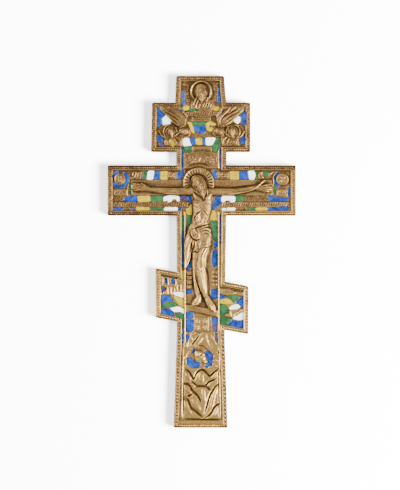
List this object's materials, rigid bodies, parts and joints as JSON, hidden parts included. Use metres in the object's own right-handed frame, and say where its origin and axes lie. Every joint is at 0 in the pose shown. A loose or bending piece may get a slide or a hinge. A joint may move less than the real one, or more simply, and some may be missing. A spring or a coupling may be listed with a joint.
{
  "type": "orthodox crucifix",
  "caption": "Eight-pointed cast brass crucifix with a relief figure, a beaded border and coloured enamel in sunk cells, lying on its flat back.",
  "frame": {"origin": "middle of the flat back, on the surface that the cross lies on", "axes": "+Y up the cross, +X to the right seen from the front, +Z out of its face"},
  "size_m": [0.0908, 0.17, 0.0064],
  "materials": {
    "brass": "antique cast brass, dark in its recesses and rubbed bright on its high parts",
    "white_enamel": "glossy opaque enamel",
    "yellow_enamel": "glossy opaque enamel",
    "green_enamel": "glossy opaque enamel",
    "blue_enamel": "glossy opaque enamel",
    "violet_enamel": "opaque enamel, dulled with age"
  },
  "bodies": {
    "root": {"casting": "brass", "enamel_white": "white_enamel", "enamel_yellow": "yellow_enamel", "enamel_green": "green_enamel", "enamel_blue": "blue_enamel", "enamel_violet": "violet_enamel"}
  },
  "joints": []
}
